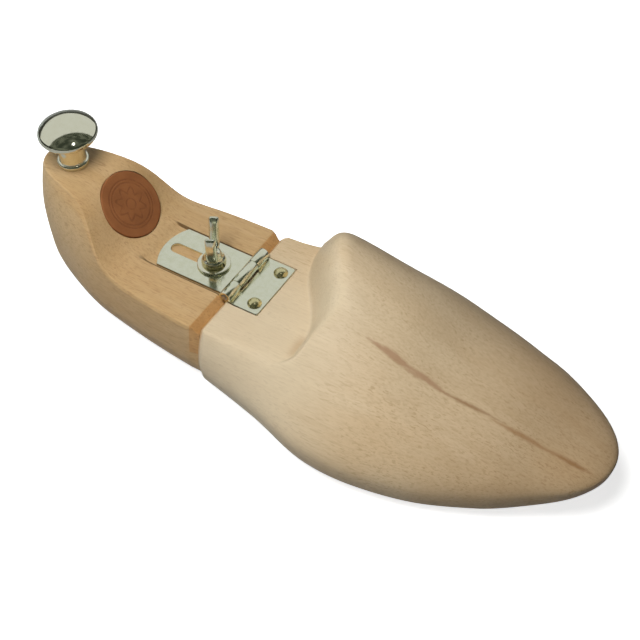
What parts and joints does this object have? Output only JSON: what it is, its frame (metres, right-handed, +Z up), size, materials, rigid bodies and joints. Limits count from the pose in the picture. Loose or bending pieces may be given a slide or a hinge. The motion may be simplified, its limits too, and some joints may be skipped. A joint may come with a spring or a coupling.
{
  "type": "shoe tree",
  "caption": "Hinged wooden shoe tree that keeps a shoe's shape: full toe block, folding heel block on a slotted strap hinge with a wing screw for length, and a pull knob",
  "frame": {"origin": "centre of the footprint at the sole's level, with the tree standing on its sole and unfolded", "axes": "+X points to the toe, +Y to the inner side of the foot, +Z up; the deck that carries the hinge leans 4 degrees against the sole"},
  "size_m": [0.2778, 0.102, 0.0762],
  "materials": {
    "beech_fore": "sanded pale beech, satin",
    "beech_heel": "sanded warmer beech, satin",
    "zinc": "bright zinc plate",
    "nickel": "polished nickel plate",
    "brass": "plain brass",
    "steel": "plain steel",
    "leather": "embossed brown leather, matt"
  },
  "bodies": {
    "fore": {"fore_part": "beech_fore", "front_leaf": "zinc", "hinge_pin": "steel", "leaf_rivet_near": "brass", "leaf_rivet_far": "brass"},
    "leaf": {"slotted_leaf": "zinc"},
    "heel": {"heel_part": "beech_heel", "pull_knob": "nickel", "knob_stud": "steel", "badge_disc": "leather", "threaded_insert": "brass"},
    "washers": {"flat_washer": "nickel", "spring_washer": "zinc"},
    "wing": {"wing_screw": "zinc"}
  },
  "joints": [
    {"name": "fold", "type": "hinge", "parent": "fore", "child": "leaf", "pos_m": [-0.03436, 0.00169, 0.03646], "axis": [0, 1, 0], "range_deg": [0, 110]},
    {"name": "length_adjust", "type": "slide", "parent": "leaf", "child": "heel", "axis": [-0.9976, 0, -0.0698], "range_m": [0, 0.018]},
    {"name": "wing_lift", "type": "slide", "parent": "heel", "child": "washers", "axis": [-0.0698, 0, 0.9976], "range_m": [0, 0.0008]},
    {"name": "wing_turn", "type": "hinge", "parent": "washers", "child": "wing", "pos_m": [-0.04981, 0.00169, 0.03383], "axis": [-0.0698, 0, 0.9976], "range_deg": [0, 360]}
  ],
  "couplings": [
    {"joint": "wing_lift", "follows": "wing_turn", "m_per_rad": 0.00012732}
  ]
}
